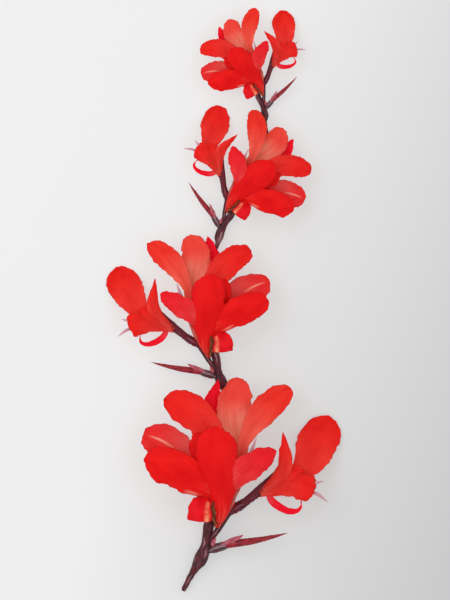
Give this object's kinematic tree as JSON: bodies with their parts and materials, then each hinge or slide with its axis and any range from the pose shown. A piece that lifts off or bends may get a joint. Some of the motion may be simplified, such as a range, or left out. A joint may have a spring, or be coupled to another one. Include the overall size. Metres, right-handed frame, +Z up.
{
  "type": "canna flower spray",
  "caption": "Cut spray of red canna flowers lying on its back, with broad open petals, side blooms, closed buds and a dark maroon stem",
  "frame": {"origin": "On the surface that the spray lies on, below the middle of its footprint", "axes": "+Z up from the surface, +Y along the stem towards its top, +X to the right seen from above"},
  "size_m": [0.118, 0.2914, 0.032],
  "materials": {
    "petal_scarlet": "satin",
    "petal_coral": "satin",
    "petal_crimson": "satin",
    "bud_maroon": "satin",
    "stem_maroon": "satin"
  },
  "bodies": {
    "root": {"stem": "stem_maroon", "cluster1_open_flower_corolla": "petal_scarlet", "cluster1_open_flower_front_petal": "petal_scarlet", "cluster1_open_flower_right_petal": "petal_scarlet", "cluster1_open_flower_left_petal": "petal_scarlet", "cluster1_open_flower_left_rear_petal": "petal_coral", "cluster1_open_flower_upper_left_petal": "petal_scarlet", "cluster1_open_flower_upper_middle_petal": "petal_coral", "cluster1_open_flower_upper_right_petal": "petal_scarlet", "cluster1_open_flower_lip": "petal_scarlet", "cluster1_side_flower_tube": "petal_scarlet", "cluster1_side_flower_broad_petal": "petal_scarlet", "cluster1_side_flower_horned_petal": "petal_scarlet", "cluster1_side_flower_curled_petal": "petal_crimson", "cluster1_bud": "bud_maroon", "cluster2_open_flower_corolla": "petal_scarlet", "cluster2_open_flower_front_petal": "petal_scarlet", "cluster2_open_flower_right_petal": "petal_scarlet", "cluster2_open_flower_left_petal": "petal_scarlet", "cluster2_open_flower_left_rear_petal": "petal_coral", "cluster2_open_flower_upper_left_petal": "petal_scarlet", "cluster2_open_flower_upper_middle_petal": "petal_coral", "cluster2_open_flower_upper_right_petal": "petal_scarlet", "cluster2_open_flower_lip": "petal_scarlet", "cluster2_side_flower_tube": "petal_scarlet", "cluster2_side_flower_broad_petal": "petal_scarlet", "cluster2_side_flower_horned_petal": "petal_scarlet", "cluster2_side_flower_curled_petal": "petal_crimson", "cluster2_bud": "bud_maroon", "cluster3_open_flower_corolla": "petal_scarlet", "cluster3_open_flower_front_petal": "petal_scarlet", "cluster3_open_flower_right_petal": "petal_scarlet", "cluster3_open_flower_left_petal": "petal_scarlet", "cluster3_open_flower_left_rear_petal": "petal_coral", "cluster3_open_flower_upper_left_petal": "petal_scarlet", "cluster3_open_flower_upper_middle_petal": "petal_coral", "cluster3_open_flower_upper_right_petal": "petal_scarlet", "cluster3_open_flower_lip": "petal_scarlet", "cluster3_side_flower_tube": "petal_scarlet", "cluster3_side_flower_broad_petal": "petal_scarlet", "cluster3_side_flower_horned_petal": "petal_scarlet", "cluster3_side_flower_curled_petal": "petal_crimson", "cluster3_bud": "bud_maroon", "cluster4_open_flower_corolla": "petal_scarlet", "cluster4_open_flower_front_petal": "petal_scarlet", "cluster4_open_flower_right_petal": "petal_scarlet", "cluster4_open_flower_left_petal": "petal_scarlet", "cluster4_open_flower_left_rear_petal": "petal_coral", "cluster4_open_flower_upper_left_petal": "petal_scarlet", "cluster4_open_flower_upper_middle_petal": "petal_coral", "cluster4_open_flower_upper_right_petal": "petal_scarlet", "cluster4_open_flower_lip": "petal_scarlet", "cluster4_side_flower_tube": "petal_scarlet", "cluster4_side_flower_broad_petal": "petal_scarlet", "cluster4_side_flower_horned_petal": "petal_scarlet", "cluster4_side_flower_curled_petal": "petal_crimson", "cluster4_bud": "bud_maroon"}
  },
  "joints": []
}
